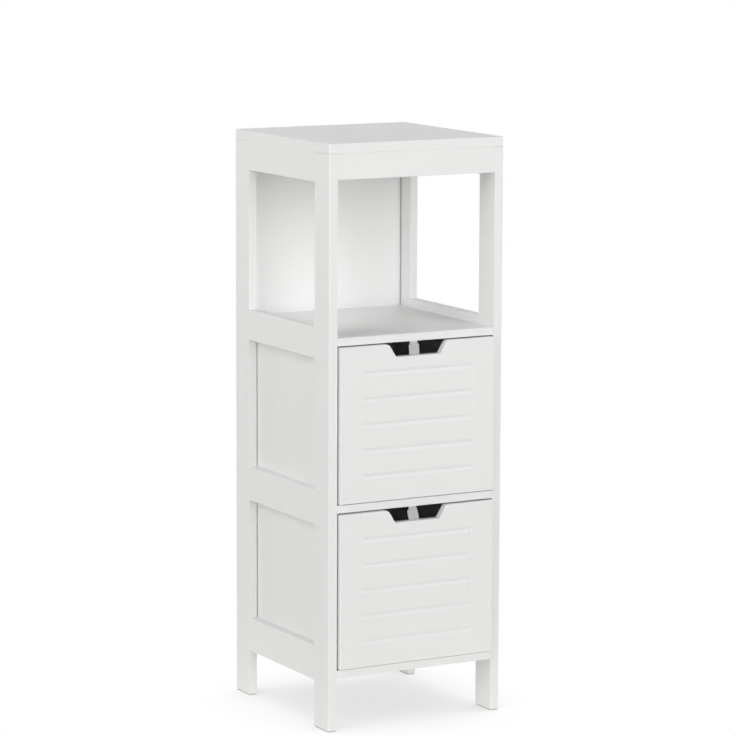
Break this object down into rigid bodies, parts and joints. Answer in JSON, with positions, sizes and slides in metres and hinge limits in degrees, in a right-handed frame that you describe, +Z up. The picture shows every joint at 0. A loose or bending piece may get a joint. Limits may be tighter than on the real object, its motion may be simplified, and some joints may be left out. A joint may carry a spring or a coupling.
{
  "type": "bathroom cabinet",
  "caption": "Slim free-standing white bathroom cabinet: an open compartment with side windows above slide-in drawers with louvred, notched fronts and swivelling drawer stops.",
  "frame": {"origin": "on the floor, under the middle of the cabinet", "axes": "+X to the cabinet's right seen from the front, the front faces -Y, +Z up"},
  "size_m": [0.3, 0.313, 0.89],
  "materials": {
    "white_lacquer": "satin white lacquer on fibreboard",
    "drawer_box": "white melamine-faced board",
    "hardboard": "white lacquer on thin hardboard",
    "beech_dowel": "bare beech",
    "zinc_steel": "bright zinc plating",
    "cam_zinc": "die-cast zinc",
    "white_plastic": "moulded white plastic of the glides and stop brackets",
    "grey_plastic": "moulded pale grey plastic"
  },
  "bodies": {
    "carcass": {"back_board": "white_lacquer", "back_screws": "zinc_steel", "board_dowels": "beech_dowel", "bottom_board": "white_lacquer", "cam_bolts": "zinc_steel", "cam_discs": "cam_zinc", "divider_board": "white_lacquer", "foot_glides": "white_plastic", "frame_dowels": "beech_dowel", "front_apron": "white_lacquer", "glide_nails": "zinc_steel", "left_back_post": "white_lacquer", "left_bottom_rail": "white_lacquer", "left_divider_rail": "white_lacquer", "left_front_post": "white_lacquer", "left_lower_side_panel": "hardboard", "left_shelf_rail": "white_lacquer", "left_top_rail": "white_lacquer", "left_upper_side_panel": "hardboard", "lower_stop_bracket": "white_plastic", "panel_brads": "zinc_steel", "right_back_post": "white_lacquer", "right_bottom_rail": "white_lacquer", "right_divider_rail": "white_lacquer", "right_front_post": "white_lacquer", "right_lower_side_panel": "hardboard", "right_shelf_rail": "white_lacquer", "right_top_rail": "white_lacquer", "right_upper_side_panel": "hardboard", "shelf_board": "white_lacquer", "stop_fixing_screws": "zinc_steel", "stop_pivot_rivets": "grey_plastic", "top_board": "white_lacquer", "upper_stop_bracket": "white_plastic"},
    "upper_drawer": {"upper_drawer_back": "drawer_box", "upper_drawer_bottom": "hardboard", "upper_drawer_cam_bolts": "zinc_steel", "upper_drawer_cam_discs": "cam_zinc", "upper_drawer_dowels": "beech_dowel", "upper_drawer_front": "white_lacquer", "upper_drawer_left_side": "drawer_box", "upper_drawer_right_side": "drawer_box", "upper_drawer_screws": "zinc_steel"},
    "lower_drawer": {"lower_drawer_back": "drawer_box", "lower_drawer_bottom": "hardboard", "lower_drawer_cam_bolts": "zinc_steel", "lower_drawer_cam_discs": "cam_zinc", "lower_drawer_dowels": "beech_dowel", "lower_drawer_front": "white_lacquer", "lower_drawer_left_side": "drawer_box", "lower_drawer_right_side": "drawer_box", "lower_drawer_screws": "zinc_steel"},
    "upper_stop": {"upper_stop_tab": "grey_plastic"},
    "lower_stop": {"lower_stop_tab": "grey_plastic"}
  },
  "joints": [
    {"name": "upper_drawer_slide", "type": "slide", "parent": "carcass", "child": "upper_drawer", "axis": [0, -1, 0], "range_m": [0, 0.2674]},
    {"name": "lower_drawer_slide", "type": "slide", "parent": "carcass", "child": "lower_drawer", "axis": [0, -1, 0], "range_m": [0, 0.2674]},
    {"name": "upper_stop_swivel", "type": "hinge", "parent": "carcass", "child": "upper_stop", "pos_m": [0, -0.14215, 0.572], "axis": [0, -1, 0], "range_deg": [-93.6, 86.4]},
    {"name": "lower_stop_swivel", "type": "hinge", "parent": "carcass", "child": "lower_stop", "pos_m": [0, -0.14215, 0.319], "axis": [0, -1, 0], "range_deg": [-103.8, 76.2]}
  ]
}
